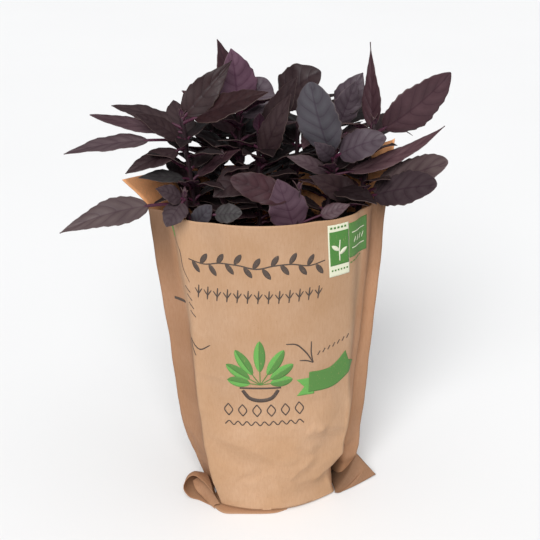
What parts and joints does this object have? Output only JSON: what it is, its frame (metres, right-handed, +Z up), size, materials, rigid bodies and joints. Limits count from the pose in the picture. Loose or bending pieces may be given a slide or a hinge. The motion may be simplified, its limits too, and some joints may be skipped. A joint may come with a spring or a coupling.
{
  "type": "purple basil plant in kraft paper bag",
  "caption": "Living purple basil plant in a nursery pot of soil, standing in an open creased kraft paper bag with a cut rim and folded-out bottom corners.",
  "frame": {"origin": "on the surface that the bag stands on, under about the middle of the bag's bottom", "axes": "+Z up, the bag's printed front faces -Y, +X to the right as seen from the front"},
  "size_m": [0.2674, 0.1685, 0.347],
  "materials": {
    "kraft_paper": "matte",
    "pot_plastic": "satin",
    "compost": "matte",
    "leaf": "satin"
  },
  "bodies": {
    "root": {"kraft_bag": "kraft_paper", "nursery_pot": "pot_plastic", "soil": "compost", "stem_left": "leaf", "stem_front_left": "leaf", "stem_back_left": "leaf", "stem_middle": "leaf", "stem_right_middle": "leaf", "stem_right": "leaf", "stem_front": "leaf", "stem_back_right": "leaf", "stem_back": "leaf", "stem_far_left": "leaf", "stem_centre": "leaf", "stem_inner_left": "leaf"}
  },
  "joints": []
}
